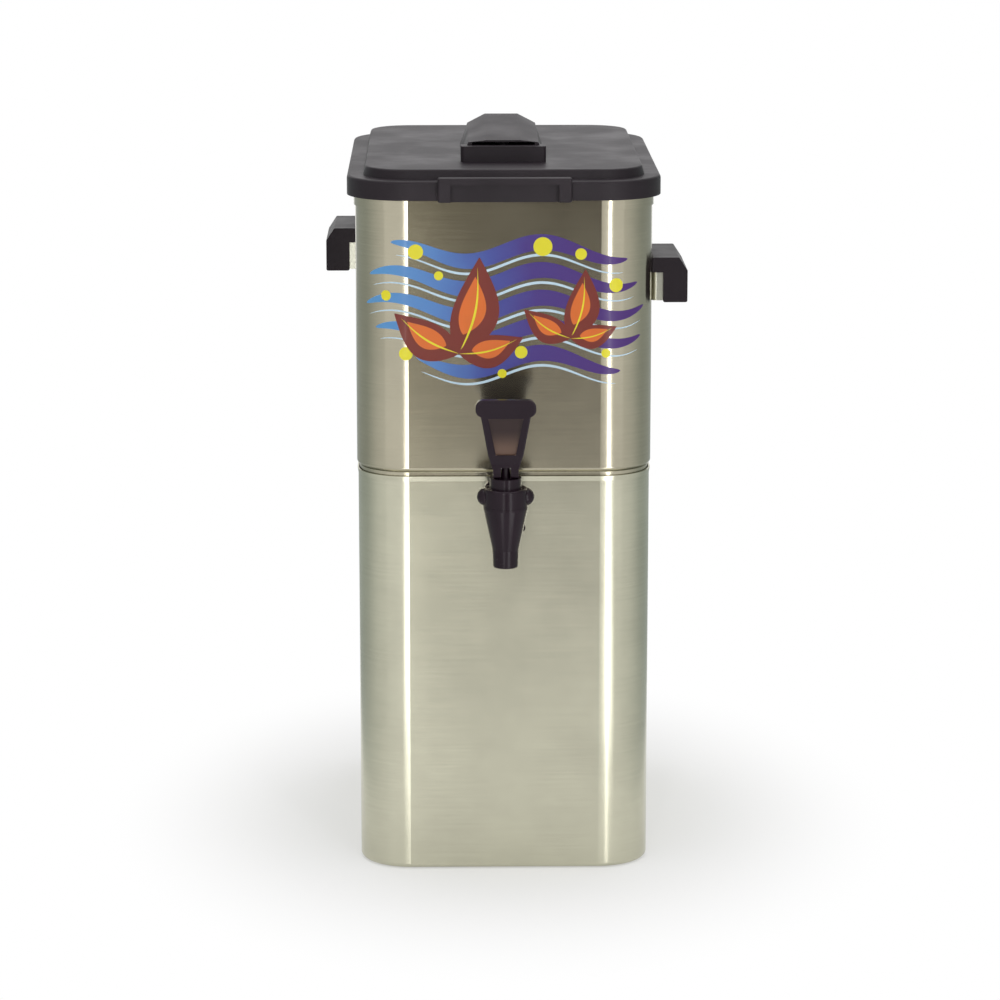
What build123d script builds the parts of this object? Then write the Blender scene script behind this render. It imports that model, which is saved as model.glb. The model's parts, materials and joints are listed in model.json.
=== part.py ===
from build123d import *
import os
from math import cos, pi, radians, sin, sqrt, tan

# A countertop iced tea dispenser: a tall stainless vessel on its own hollow stand, a lift-off
# moulded lid, two carrying grips and a spring-loaded pull tap.
# Millimetres. The origin is on the bench under the middle of the stand. X runs across the front,
# the tap faces -Y and Z is up.

os.makedirs("parts", exist_ok=True)

# Driving dimensions of the vessel and stand
TANK_WIDTH = 236.0
TANK_DEPTH = 340.0
CORNER_RADIUS = 42.0
SHEET = 1.2
TANK_TOP = 558.0
SAFE_EDGE = 20.0
SAFE_EDGE_ROLL = 1.14
SEAM_HEIGHT = 325.0
STAND_STEP = 1.0
SHEET_FIT = 0.15
BEND = 1.6

# The groove at the seam, between the wide wall and the top edge of the stand
GROOVE = 3.2
JOGGLE_RISE = 3.0
STAND_LIP_RISE = 4.0
STAND_LIP_FLARE = 0.7

# Turned-in foot of the stand
FOOT_TURN = 14.0
FOOT_RETURN = 8.0
FOOT_BEND = 3.0

# Pressed floor of the vessel
FLOOR_BASE = 282.0
FLOOR_FRONT = 288.5
FLOOR_FALL = 19.5
FLOOR_FIT = 0.1

# Carrying grips, one near the front on the right and one near the back on the left
GRIP_LENGTH = 80.0
GRIP_DROP = 64.0
GRIP_STAGGER = 176.0
GRIP_WIDTH = 28.8
GRIP_HEIGHT = 36.0
GRIP_BAR = 12.0
GRIP_ROOT = 9.3
GRIP_CHAMFER = 6.8
GRIP_CHAMFER_DROP = 10.5
GRIP_SKIN = 4.0
GRIP_END_WALL = 7.0
GRIP_WALL_GAP = 0.5
GRIP_EDGE = 1.5
STRAP = 2.4
STRAP_HEIGHT = 23.0
STRAP_REACH = 20.0
STRAP_FIT = 0.2
STRAP_SETBACK = 3.5
STRAP_BEND = 3.2
TAB_LENGTH = 15.0
TAB_WIDTH = 12.0

# Lid
LID_OVERHANG = 6.5
LID_SKIN = 2.5
LID_SEAT = 0.3
LID_LEDGE = 3.0
LID_SKIRT = 12.3
LID_EDGE = 2.6
PLATE_INSET = 13.0
PLATE_RISE = 7.5
PLATE_DRAFT = 14.0
PLATE_EDGE = 2.0
PLUG_DEPTH = 17.0
PLUG_FIT = 1.0
LID_TAB_WIDTH = 105.0
LID_TAB_PROUD = 6.0
LID_TAB_RISE = 3.0
LID_TAB_DROP = 1.0
LID_TAB_LIP = 5.5
LID_TAB_CHEEK = 10.0
LID_TAB_POCKET = 5.6
LID_TAB_EDGE = 1.6

# Raised grip on the lid
KNOB_FRONT = -113.0
KNOB_LENGTH = 135.0
KNOB_HALF = 34.0
KNOB_SHOULDER = 28.0
KNOB_CROWN = 13.5
KNOB_FRONT_SHOULDER_RISE = 14.8
KNOB_FRONT_RISE = 16.5
KNOB_CREST_SHOULDER_RISE = 18.5
KNOB_CREST_RISE = 26.0
KNOB_TAIL_SHOULDER_RISE = 12.5
KNOB_TAIL_RISE = 15.0
KNOB_TAIL = 14.0
KNOB_SKIN = 3.0
KNOB_BLOCK_EDGE = 3.0
KNOB_BLOCK_DEPTH = 9.0
KNOB_BLOCK_RISE = 12.5
KNOB_SLOT = 2.6
KNOB_SLOT_WIDTH = 50.0
KNOB_BOSS_RADIUS = 5.0
KNOB_SCREW_GAP = 70.0

# Outlet through the front wall
OUTLET_HEIGHT = 304.0
FITTING_RADIUS = 9.5
FITTING_BORE = 6.0
FITTING_LENGTH = 21.0
FITTING_FLANGE = 13.4
FLANGE_THICK = 3.0
FLANGE_EDGE = 0.6
GASKET_THICK = 2.0
HOLE_FIT = 0.3
WASHER_RADIUS = 15.0
WASHER_THICK = 1.5
LOCKNUT_FLATS = 27.0
LOCKNUT_THICK = 6.0
UNION_SEAL = 2.0
TAIL_FLANGE = 11.3
TAIL_FLANGE_THICK = 3.0
TAIL_RADIUS = 6.8
TAIL_BORE = 4.6
TAIL_ROOT = 1.2
NUT_RADIUS = 14.5
NUT_OVERLAP = 7.5
NUT_END = 2.4
NUT_FIT = 0.3
WING_SPAN = 22.5
WING_THICK = 6.5
WING_DEPTH = 9.0
WING_ANGLE = -52.0
WING_ROOT = 13.5

# Tap
BARREL_CLEAR = 2.2
SPOUT_DROP = 42.0
SPOUT_STRAIGHT = 14.0
SPOUT_RADIUS = 9.8
SPOUT_NECK = 10.4
SPOUT_BORE = 5.5
SPOUT_EDGE = 1.1
BARREL_RADIUS = 17.6
BARREL_RISE = 7.0
SEAT_DROP = 16.0
CHAMBER_RADIUS = 10.0
THREAD_RADIUS = 14.0
THREAD_RISE = 12.0
BONNET_HEIGHT = 14.6
BONNET_NECK = 12.4
BONNET_NECK_RISE = 8.0
BONNET_FIT = 0.1
BONNET_EDGE = 2.0
LUG_REACH = 22.6
LUG_RADIUS = 7.2

# Valve
STEM_RADIUS = 3.5
STEM_FIT = 0.08
STEM_COLLAR = 7.0
STEM_COLLAR_THICK = 2.0
STEM_END = 1.2
CUP_RADIUS = 8.8
CUP_HEIGHT = 12.0
CUP_NECK = 6.5
CUP_SKIN = 5.0
CUP_RIM = 4.0
CUP_GAP = 0.1
EYE_RADIUS = 4.2
SPRING_RADIUS = 5.9
SPRING_WIRE = 0.6
SPRING_TURNS = 6
SPRING_REST = 0.25

# Lever
PIN_RADIUS = 1.5
PIN_FIT = 0.05
PIN_LENGTH = 19.0
PIN_RISE = 7.0
LEVER_GAP = 0.35
LEVER_HEIGHT = 63.0
FORK_FIT = 0.3
HEEL_REACH = 8.0
HEEL_ROUND = 2.5
HEEL_RISE = 4.0
STALK_RISE = 11.0
FORK_MOUTH = 8.3
FORK_RISE = 13.0
LEVER_THICK = 10.6
HEAD_LEAN = 7.0
HEAD_THICK = 8.0
HEAD_HALF = 23.7
HEAD_HEIGHT = 14.0
HEAD_ROUND = 6.0
WAIST_HALF = 10.0
WAIST_HEIGHT = 7.0
SHOULDER_HALF = 14.0
SHOULDER_HEIGHT = 18.5
NECK_HALF = 19.4
PANEL_SINK = 2.2
PANEL_TOP_HALF = 13.8
PANEL_BASE_HALF = 7.8
PANEL_GAP = 0.8
PANEL_CORNER = 2.0
LEVER_EDGE = 1.2

# Screws
SCREW_RADIUS = 2.0
SCREW_HEAD = 3.8
SCREW_HEAD_THICK = 2.2
SCREW_CROWN = 2.7
SCREW_FIT = 0.2
SCREW_BITE = 8.0

# Worked out from the values above
HALF_WIDTH = TANK_WIDTH / 2
HALF_DEPTH = TANK_DEPTH / 2
WRAP_INSET = STAND_STEP
SPIGOT_INSET = WRAP_INSET + SHEET + SHEET_FIT
GROOVE_TOP = SEAM_HEIGHT + GROOVE
WIDE_BASE = GROOVE_TOP + JOGGLE_RISE
LEDGE_UNDER = TANK_TOP + LID_SEAT
LEDGE_TOP = LEDGE_UNDER + LID_LEDGE
PLATE_TOP = LEDGE_TOP + PLATE_RISE
GRIP_TOP = TANK_TOP - GRIP_DROP
WRAP_FACE = -HALF_DEPTH + WRAP_INSET
SPIGOT_BACK = -HALF_DEPTH + SPIGOT_INSET + SHEET
FITTING_END = WRAP_FACE - FITTING_LENGTH + SHEET
TAIL_FACE = FITTING_END - UNION_SEAL
TAIL_END = TAIL_FACE - TAIL_FLANGE_THICK
NUT_FRONT = TAIL_END - NUT_END
TAP_Y = NUT_FRONT - BARREL_CLEAR - BARREL_RADIUS
SEAT_HEIGHT = OUTLET_HEIGHT - SEAT_DROP
BARREL_TOP = OUTLET_HEIGHT + BARREL_RISE
BONNET_TOP = BARREL_TOP + BONNET_HEIGHT + BONNET_NECK_RISE
BONNET_ROOF = BARREL_TOP + THREAD_RISE + BONNET_FIT
LEVER_BASE = BONNET_TOP + LEVER_GAP
PIN_HEIGHT = LEVER_BASE + PIN_RISE


def plan(inset):
    """Rounded rectangle in plan, this far inside the widest face of the vessel."""
    return RectangleRounded(TANK_WIDTH - 2 * inset, TANK_DEPTH - 2 * inset, CORNER_RADIUS - inset)


def half_path():
    """The wall line from the middle of the front, round the right side, to the middle of the back."""
    with BuildLine() as path:
        front = Line((0, -HALF_DEPTH), (HALF_WIDTH - CORNER_RADIUS, -HALF_DEPTH))
        corner = JernArc(front @ 1, front % 1, CORNER_RADIUS, 90)
        side = Line(corner @ 1, (HALF_WIDTH, HALF_DEPTH - CORNER_RADIUS))
        back_corner = JernArc(side @ 1, side % 1, CORNER_RADIUS, 90)
        Line(back_corner @ 1, (0, HALF_DEPTH))
    return path.line


def screw(length):
    """Pan-head screw standing on its head, with the head's seat at the local origin."""
    with BuildPart() as one:
        with BuildSketch(Plane.XZ):
            with BuildLine():
                Polyline((0, length), (0, -SCREW_HEAD_THICK), (SCREW_CROWN, -SCREW_HEAD_THICK))
                side = TangentArc((SCREW_CROWN, -SCREW_HEAD_THICK), (SCREW_HEAD, 0), tangent=(1, 0))
                Polyline(side @ 1, (SCREW_RADIUS, 0), (SCREW_RADIUS, length), (0, length))
            make_face()
        revolve(axis=Axis.Z)
    return one.part


# Vessel wall: a bent section swept round half the plan, then mirrored
spigot_line = -HALF_DEPTH + SPIGOT_INSET + SHEET / 2
wall_line = -HALF_DEPTH + SHEET / 2
with BuildPart() as tank_shell:
    with BuildSketch(Plane.YZ):
        with BuildLine():
            FilletPolyline((spigot_line, FLOOR_BASE), (spigot_line, GROOVE_TOP),
                           (wall_line, WIDE_BASE), (wall_line, TANK_TOP - SHEET), radius=BEND)
        trace(line_width=SHEET)
        with Locations((-HALF_DEPTH, TANK_TOP - SAFE_EDGE / 2)):
            Rectangle(2 * SHEET, SAFE_EDGE)
        safe_edge_ends = vertices().group_by(Axis.Y)
        fillet(safe_edge_ends[-1], SAFE_EDGE_ROLL)
    sweep(path=half_path())
    mirror(about=Plane.YZ)
    with Locations(Plane((0, -HALF_DEPTH, OUTLET_HEIGHT), x_dir=(1, 0, 0), z_dir=(0, -1, 0))):
        Hole(FITTING_RADIUS + HOLE_FIT, depth=CORNER_RADIUS)
tank_shell.part.label = "tank_shell"
export_step(tank_shell.part, "parts/tank_shell.step")

# Floor: a pan turned upside down, its top falling to the outlet at the front
floor_inset = SPIGOT_INSET + SHEET + FLOOR_FIT
floor_slope = FLOOR_FALL / TANK_DEPTH
with BuildPart() as tank_floor:
    with BuildSketch(Plane.XY.offset(FLOOR_BASE)):
        plan(floor_inset)
    extrude(amount=FLOOR_FRONT - FLOOR_BASE + FLOOR_FALL)
    floor_plane = Plane((0, -HALF_DEPTH, FLOOR_FRONT), x_dir=(1, 0, 0), z_dir=(0, -floor_slope, 1))
    split(bisect_by=floor_plane, keep=Keep.BOTTOM)
    fillet(tank_floor.faces().sort_by(Axis.Z)[-1].edges(), BEND)
    offset(amount=-SHEET, openings=tank_floor.faces().sort_by(Axis.Z)[0])
tank_floor.part.label = "tank_floor"
export_step(tank_floor.part, "parts/tank_floor.step")

# Stand: a wrap with a flared top edge at the seam and a turned-in foot
wrap_line = WRAP_FACE + SHEET / 2
with BuildPart() as stand_shell:
    with BuildSketch(Plane.YZ):
        with BuildLine():
            FilletPolyline((wrap_line + FOOT_TURN, FOOT_RETURN), (wrap_line + FOOT_TURN, SHEET / 2),
                           (wrap_line, SHEET / 2), (wrap_line, SEAM_HEIGHT - STAND_LIP_RISE),
                           (wrap_line - STAND_LIP_FLARE, SEAM_HEIGHT),
                           radius=[BEND, FOOT_BEND, BEND])
        trace(line_width=SHEET)
    sweep(path=half_path())
    mirror(about=Plane.YZ)
    with Locations(Plane((0, -HALF_DEPTH, OUTLET_HEIGHT), x_dir=(1, 0, 0), z_dir=(0, -1, 0))):
        Hole(FITTING_RADIUS + HOLE_FIT, depth=CORNER_RADIUS)
stand_shell.part.label = "stand_shell"
export_step(stand_shell.part, "parts/stand_shell.step")


def grip_plane(side, middle):
    """The end view of a grip: its X runs out from the vessel's side wall, and its Y runs up."""
    return Plane((side * HALF_WIDTH, middle, GRIP_TOP), x_dir=(side, 0, 0), z_dir=(0, -side, 0))


def strap_path(side, middle):
    """Plan of the bracket: out, along the wall and out again."""
    reach = side * (HALF_WIDTH + STRAP_REACH)
    root = side * (HALF_WIDTH + STRAP / 2)
    arm = GRIP_LENGTH / 2 - STRAP_SETBACK - STRAP / 2
    return [(reach, middle - arm), (root, middle - arm), (root, middle + arm), (reach, middle + arm)]


def tab_places(side, middle):
    """Where the screw tabs of a bracket lie, in plan."""
    across = side * (HALF_WIDTH + GRIP_ROOT + TAB_WIDTH / 2)
    along = GRIP_LENGTH / 2 - STRAP_SETBACK - TAB_LENGTH / 2
    return [(across, middle - along), (across, middle + along)]


def screw_places(side, middle):
    """The grip's two screws, in the free ends of the tabs."""
    across = side * (HALF_WIDTH + GRIP_ROOT + TAB_WIDTH / 2)
    along = GRIP_LENGTH / 2 - GRIP_END_WALL - SCREW_HEAD - SCREW_FIT
    return [(across, middle - along), (across, middle + along)]


def handle_bracket(side, middle):
    """A strap bent to a U, with a tab at the top of each arm for the grip's screws."""
    with BuildPart() as bracket:
        with BuildSketch(Plane.XY.offset(GRIP_TOP - GRIP_BAR - STRAP_HEIGHT)):
            with BuildLine():
                FilletPolyline(*strap_path(side, middle), radius=STRAP_BEND)
            trace(line_width=STRAP)
        extrude(amount=STRAP_HEIGHT)
        with BuildSketch(Plane.XY.offset(GRIP_TOP - GRIP_BAR - STRAP)):
            with Locations(*tab_places(side, middle)):
                Rectangle(TAB_WIDTH, TAB_LENGTH)
        extrude(amount=STRAP)
        with BuildSketch(Plane.XY.offset(GRIP_TOP - GRIP_BAR - STRAP)):
            with Locations(*screw_places(side, middle)):
                Circle(SCREW_RADIUS + SCREW_FIT)
        extrude(amount=STRAP, mode=Mode.SUBTRACT)
    return bracket.part


def handle_grip(side, middle):
    """A moulded hand grip: closed ends, hollow below, so that fingers hook up behind its face."""
    hollow = GRIP_LENGTH - 2 * GRIP_END_WALL
    arm = GRIP_LENGTH / 2 - STRAP_SETBACK - STRAP / 2
    slot = STRAP + 2 * STRAP_FIT
    slot_reach = STRAP_REACH - GRIP_ROOT + STRAP_FIT
    depth = GRIP_HEIGHT - GRIP_BAR
    with BuildPart() as grip:
        with BuildSketch(grip_plane(side, middle)):
            with BuildLine():
                Polyline((GRIP_WALL_GAP, 0), (GRIP_WIDTH - GRIP_CHAMFER, 0),
                         (GRIP_WIDTH, -GRIP_CHAMFER_DROP), (GRIP_WIDTH, -GRIP_HEIGHT),
                         (GRIP_ROOT, -GRIP_HEIGHT), (GRIP_ROOT, -GRIP_BAR),
                         (GRIP_WALL_GAP, -GRIP_BAR), close=True)
            make_face()
        extrude(amount=GRIP_LENGTH / 2, both=True)
        fillet(grip.edges().filter_by(Axis.Y).group_by(Axis.Z)[-1], GRIP_EDGE)
        outer_long = grip.edges().filter_by(Axis.Y).group_by(Axis.Z)[0]
        fillet(outer_long, GRIP_EDGE)
        with BuildSketch(grip_plane(side, middle)):
            with Locations(((GRIP_ROOT + GRIP_WIDTH - GRIP_SKIN) / 2, -GRIP_BAR - depth / 2)):
                Rectangle(GRIP_WIDTH - GRIP_SKIN - GRIP_ROOT, depth)
        extrude(amount=hollow / 2, both=True, mode=Mode.SUBTRACT)
        with BuildSketch(Plane.XY.offset(GRIP_TOP - GRIP_HEIGHT)):
            with Locations((side * (HALF_WIDTH + GRIP_ROOT + slot_reach / 2), middle - arm),
                           (side * (HALF_WIDTH + GRIP_ROOT + slot_reach / 2), middle + arm)):
                Rectangle(slot_reach, slot)
        extrude(amount=depth, mode=Mode.SUBTRACT)
        with BuildSketch(Plane.XY.offset(GRIP_TOP - GRIP_BAR - STRAP - STRAP_FIT)):
            with Locations(*tab_places(side, middle)):
                Rectangle(TAB_WIDTH + 2 * STRAP_FIT, TAB_LENGTH + 2 * STRAP_FIT)
        extrude(amount=STRAP + STRAP_FIT, mode=Mode.SUBTRACT)
        with BuildSketch(Plane.XY.offset(GRIP_TOP - GRIP_BAR)):
            with Locations(*screw_places(side, middle)):
                Circle(SCREW_RADIUS)
        extrude(amount=SCREW_BITE, mode=Mode.SUBTRACT)
    return grip.part


for side, name in ((-1, "left"), (1, "right")):
    middle = -side * GRIP_STAGGER / 2
    bracket = handle_bracket(side, middle)
    bracket.label = "handle_bracket_" + name
    export_step(bracket, "parts/handle_bracket_" + name + ".step")
    grip = handle_grip(side, middle)
    grip.label = "handle_grip_" + name
    export_step(grip, "parts/handle_grip_" + name + ".step")

screw_seats = [place for side in (-1, 1) for place in screw_places(side, -side * GRIP_STAGGER / 2)]
with BuildPart() as handle_screws:
    for place in screw_seats:
        with Locations((place[0], place[1], GRIP_TOP - GRIP_BAR - STRAP)):
            add(screw(STRAP + SCREW_BITE))
handle_screws.part.label = "handle_screws"
export_step(handle_screws.part, "parts/handle_screws.step")

# Lid: overhanging skirt, raised plate, plug skirt inside the vessel and a finger tab in front
skirt_bottom = LEDGE_UNDER - LID_SKIRT
plug_outer = SHEET + PLUG_FIT
plate_skin = PLATE_INSET - LID_OVERHANG + LID_SKIN + tan(radians(PLATE_DRAFT)) * PLATE_RISE
tab_face = -HALF_DEPTH - LID_OVERHANG - LID_TAB_PROUD
tab_root = -HALF_DEPTH - LID_OVERHANG + LID_SKIN
tab_top = LEDGE_TOP + LID_TAB_RISE
tab_bottom = skirt_bottom - LID_TAB_DROP
knob_middle = KNOB_FRONT + KNOB_BLOCK_DEPTH + (KNOB_LENGTH - KNOB_BLOCK_DEPTH) / 2
knob_screws = [(0, knob_middle - KNOB_SCREW_GAP / 2), (0, knob_middle + KNOB_SCREW_GAP / 2)]
with BuildPart() as lid_cover:
    with BuildSketch(Plane.XY.offset(skirt_bottom)):
        plan(-LID_OVERHANG)
    extrude(amount=LEDGE_TOP - skirt_bottom)
    fillet(lid_cover.faces().sort_by(Axis.Z)[-1].edges(), LID_EDGE)
    with BuildSketch(Plane.XY.offset(LEDGE_TOP)):
        plan(PLATE_INSET - LID_OVERHANG)
    extrude(amount=PLATE_RISE, taper=PLATE_DRAFT)
    fillet(lid_cover.faces().sort_by(Axis.Z)[-1].edges(), PLATE_EDGE)
    with BuildSketch(Plane.XZ.offset(-tab_root)):
        with Locations((0, (tab_bottom + tab_top) / 2)):
            RectangleRounded(LID_TAB_WIDTH, tab_top - tab_bottom, LID_TAB_EDGE)
    extrude(amount=tab_root - tab_face)
    fillet(lid_cover.faces().sort_by(Axis.Y)[0].edges(), LID_TAB_EDGE)
    with BuildSketch(Plane.XZ.offset(-tab_face)):
        with Locations((0, tab_top - LID_TAB_LIP)):
            Rectangle(LID_TAB_WIDTH - 2 * LID_TAB_CHEEK, LID_SKIRT * 2, align=(Align.CENTER, Align.MAX))
    extrude(amount=-LID_TAB_POCKET, mode=Mode.SUBTRACT)
    with BuildSketch(Plane.XY.offset(skirt_bottom)):
        plan(LID_SKIN - LID_OVERHANG)
    extrude(amount=LID_SKIRT, mode=Mode.SUBTRACT)
    with BuildSketch(Plane.XY.offset(LEDGE_UNDER)):
        plan(plate_skin)
    extrude(amount=PLATE_TOP - LID_LEDGE - LEDGE_UNDER, mode=Mode.SUBTRACT)
    with BuildSketch(Plane.XY.offset(LEDGE_UNDER - PLUG_DEPTH)):
        plan(plug_outer)
        offset(amount=-LID_SKIN, mode=Mode.SUBTRACT)
    extrude(amount=PLUG_DEPTH)
    with BuildSketch(Plane.XY.offset(PLATE_TOP - LID_LEDGE)):
        with Locations(*knob_screws):
            Circle(SCREW_RADIUS + SCREW_FIT)
    extrude(amount=LID_LEDGE, mode=Mode.SUBTRACT)
lid_cover.part.label = "lid_cover"
export_step(lid_cover.part, "parts/lid_cover.step")

# Raised grip: a faceted hood that climbs to a crest near its back, with a block and a slot in front
hood_front = KNOB_FRONT + KNOB_BLOCK_DEPTH
hood_back = KNOB_FRONT + KNOB_LENGTH
hood_stations = [(hood_front, KNOB_FRONT_SHOULDER_RISE, KNOB_FRONT_RISE),
                 (hood_back - KNOB_TAIL, KNOB_CREST_SHOULDER_RISE, KNOB_CREST_RISE),
                 (hood_back, KNOB_TAIL_SHOULDER_RISE, KNOB_TAIL_RISE)]


def hood(skin):
    """The hood's loft, or its hollow when it is drawn in by a wall's thickness."""
    half, shoulder, crown = KNOB_HALF - skin, KNOB_SHOULDER - skin, KNOB_CROWN - skin / 2
    with BuildPart() as solid:
        for (station, shoulder_rise, rise), shift in zip(hood_stations, (skin, 0, -skin)):
            shoulder_rise, rise = shoulder_rise - skin, rise - skin
            with BuildSketch(Plane((0, station + shift, PLATE_TOP), x_dir=(1, 0, 0), z_dir=(0, -1, 0))):
                with BuildLine():
                    Polyline((-half, 0), (half, 0), (shoulder, shoulder_rise), (crown, rise),
                             (-crown, rise), (-shoulder, shoulder_rise), close=True)
                make_face()
        loft(ruled=True)
    return solid.part


with BuildPart() as hood_hollow:
    add(hood(KNOB_SKIN))
    with BuildSketch(Plane.XY.offset(PLATE_TOP)):
        with Locations(*knob_screws):
            Circle(KNOB_BOSS_RADIUS)
    extrude(amount=KNOB_CREST_RISE, mode=Mode.SUBTRACT)

with BuildPart() as lid_handle:
    add(hood(0))
    with BuildSketch(Plane.XY.offset(PLATE_TOP)):
        with Locations((0, hood_front)):
            Rectangle(2 * KNOB_HALF, KNOB_BLOCK_DEPTH * 2)
        fillet(vertices(), KNOB_BLOCK_EDGE)
    extrude(amount=KNOB_BLOCK_RISE)
    with BuildSketch(Plane.XY.offset(PLATE_TOP + KNOB_BLOCK_RISE)):
        with Locations((0, KNOB_FRONT)):
            Rectangle(KNOB_SLOT_WIDTH, KNOB_BLOCK_DEPTH * 3, align=(Align.CENTER, Align.MIN))
    extrude(amount=KNOB_SLOT, mode=Mode.SUBTRACT)
    add(hood_hollow.part, mode=Mode.SUBTRACT)
    with BuildSketch(Plane.XY.offset(PLATE_TOP)):
        with Locations(*knob_screws):
            Circle(SCREW_RADIUS)
    extrude(amount=SCREW_BITE, mode=Mode.SUBTRACT)
lid_handle.part.label = "lid_handle"
export_step(lid_handle.part, "parts/lid_handle.step")

with BuildPart() as lid_handle_screws:
    for place in knob_screws:
        with Locations((place[0], place[1], PLATE_TOP - LID_LEDGE)):
            add(screw(LID_LEDGE + SCREW_BITE))
lid_handle_screws.part.label = "lid_handle_screws"
export_step(lid_handle_screws.part, "parts/lid_handle_screws.step")

# Everything on the outlet's axis is turned round this line
outlet_axis = Axis((0, 0, OUTLET_HEIGHT), (0, 1, 0))


def turned(*profiles):
    """Rings on the outlet's axis; each profile is back, front, inner radius, outer radius."""
    with BuildPart() as rings:
        with BuildSketch(Plane.YZ):
            for back, front, inner, outer in profiles:
                with Locations(((back + front) / 2, OUTLET_HEIGHT + (inner + outer) / 2)):
                    Rectangle(abs(back - front), outer - inner)
        revolve(axis=outlet_axis)
    return rings.part


gasket_face = SPIGOT_BACK + GASKET_THICK
with BuildPart() as outlet_fitting:
    add(turned((gasket_face + FLANGE_THICK, gasket_face, FITTING_BORE, FITTING_FLANGE),
               (gasket_face, FITTING_END, FITTING_BORE, FITTING_RADIUS)))
    chamfer(outlet_fitting.edges().filter_by(GeomType.CIRCLE).sort_by(Axis.Y)[0:2], FLANGE_EDGE)
outlet_fitting.part.label = "outlet_fitting"
export_step(outlet_fitting.part, "parts/outlet_fitting.step")

outlet_gasket = turned((gasket_face, SPIGOT_BACK, FITTING_RADIUS, FITTING_FLANGE))
outlet_gasket.label = "outlet_gasket"
export_step(outlet_gasket, "parts/outlet_gasket.step")

washer_front = WRAP_FACE - WASHER_THICK
outlet_washer = turned((WRAP_FACE, washer_front, FITTING_RADIUS, WASHER_RADIUS))
outlet_washer.label = "outlet_washer"
export_step(outlet_washer, "parts/outlet_washer.step")

with BuildPart() as outlet_locknut:
    with BuildSketch(Plane((0, washer_front, OUTLET_HEIGHT), x_dir=(1, 0, 0), z_dir=(0, -1, 0))):
        RegularPolygon(LOCKNUT_FLATS / 2, 6, major_radius=False)
        Circle(FITTING_RADIUS, mode=Mode.SUBTRACT)
    extrude(amount=LOCKNUT_THICK)
outlet_locknut.part.label = "outlet_locknut"
export_step(outlet_locknut.part, "parts/outlet_locknut.step")

union_washer = turned((FITTING_END, TAIL_FACE, TAIL_BORE, FITTING_RADIUS))
union_washer.label = "union_washer"
export_step(union_washer, "parts/union_washer.step")

# Wing nut: a hub that holds the tap's tail against the fitting, and two finger wings
nut_back = FITTING_END + NUT_OVERLAP
wing_line = (cos(radians(WING_ANGLE)), 0, sin(radians(WING_ANGLE)))
wing_plane = Plane((0, nut_back, OUTLET_HEIGHT), x_dir=wing_line, z_dir=(0, -1, 0))
with BuildPart() as wing_nut:
    add(turned((nut_back, TAIL_END, TAIL_FLANGE + NUT_FIT, NUT_RADIUS),
               (TAIL_END, NUT_FRONT, TAIL_RADIUS + NUT_FIT, NUT_RADIUS)))
    with BuildSketch(wing_plane):
        with PolarLocations(0, 2):
            with Locations(((WING_ROOT + WING_SPAN) / 2, 0)):
                SlotOverall(WING_SPAN - WING_ROOT + WING_THICK / 2, WING_THICK)
        Circle(WING_ROOT, mode=Mode.SUBTRACT)
    extrude(amount=WING_DEPTH)
wing_nut.part.label = "wing_nut"
export_step(wing_nut.part, "parts/wing_nut.step")

# Tap body: a barrel that tapers to the spout, with a valve seat inside and a flanged tail behind
tap_axis = Axis((0, TAP_Y, 0), (0, 0, 1))
tap_side = Plane((0, TAP_Y, 0), x_dir=(1, 0, 0), z_dir=(0, -1, 0))
spout_end = OUTLET_HEIGHT - SPOUT_DROP
thread_top = BARREL_TOP + THREAD_RISE
with BuildPart() as tap_body:
    with BuildSketch(tap_side):
        with BuildLine():
            Polyline((SPOUT_BORE, spout_end), (SPOUT_RADIUS, spout_end),
                     (SPOUT_NECK, spout_end + SPOUT_STRAIGHT), (BARREL_RADIUS, BARREL_TOP - BONNET_EDGE),
                     (BARREL_RADIUS, BARREL_TOP), (THREAD_RADIUS, BARREL_TOP),
                     (THREAD_RADIUS, thread_top), (CHAMBER_RADIUS, thread_top),
                     (CHAMBER_RADIUS, SEAT_HEIGHT), (SPOUT_BORE, SEAT_HEIGHT), close=True)
        make_face()
    revolve(axis=tap_axis)
    add(turned((TAIL_FACE, TAIL_END, TAIL_BORE, TAIL_FLANGE),
               (TAIL_END, TAP_Y + CHAMBER_RADIUS + TAIL_ROOT, TAIL_BORE, TAIL_RADIUS)))
    with BuildSketch(Plane.XZ.offset(-TAIL_FACE)):
        with Locations((0, OUTLET_HEIGHT)):
            Circle(TAIL_BORE)
    extrude(amount=TAIL_FACE - TAP_Y, mode=Mode.SUBTRACT)
    spout_mouth = tap_body.edges().filter_by(GeomType.CIRCLE).group_by(Axis.Z)[0]
    fillet(spout_mouth.sort_by(SortBy.RADIUS)[-1], SPOUT_EDGE)
tap_body.part.label = "tap_body"
export_step(tap_body.part, "parts/tap_body.step")

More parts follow.
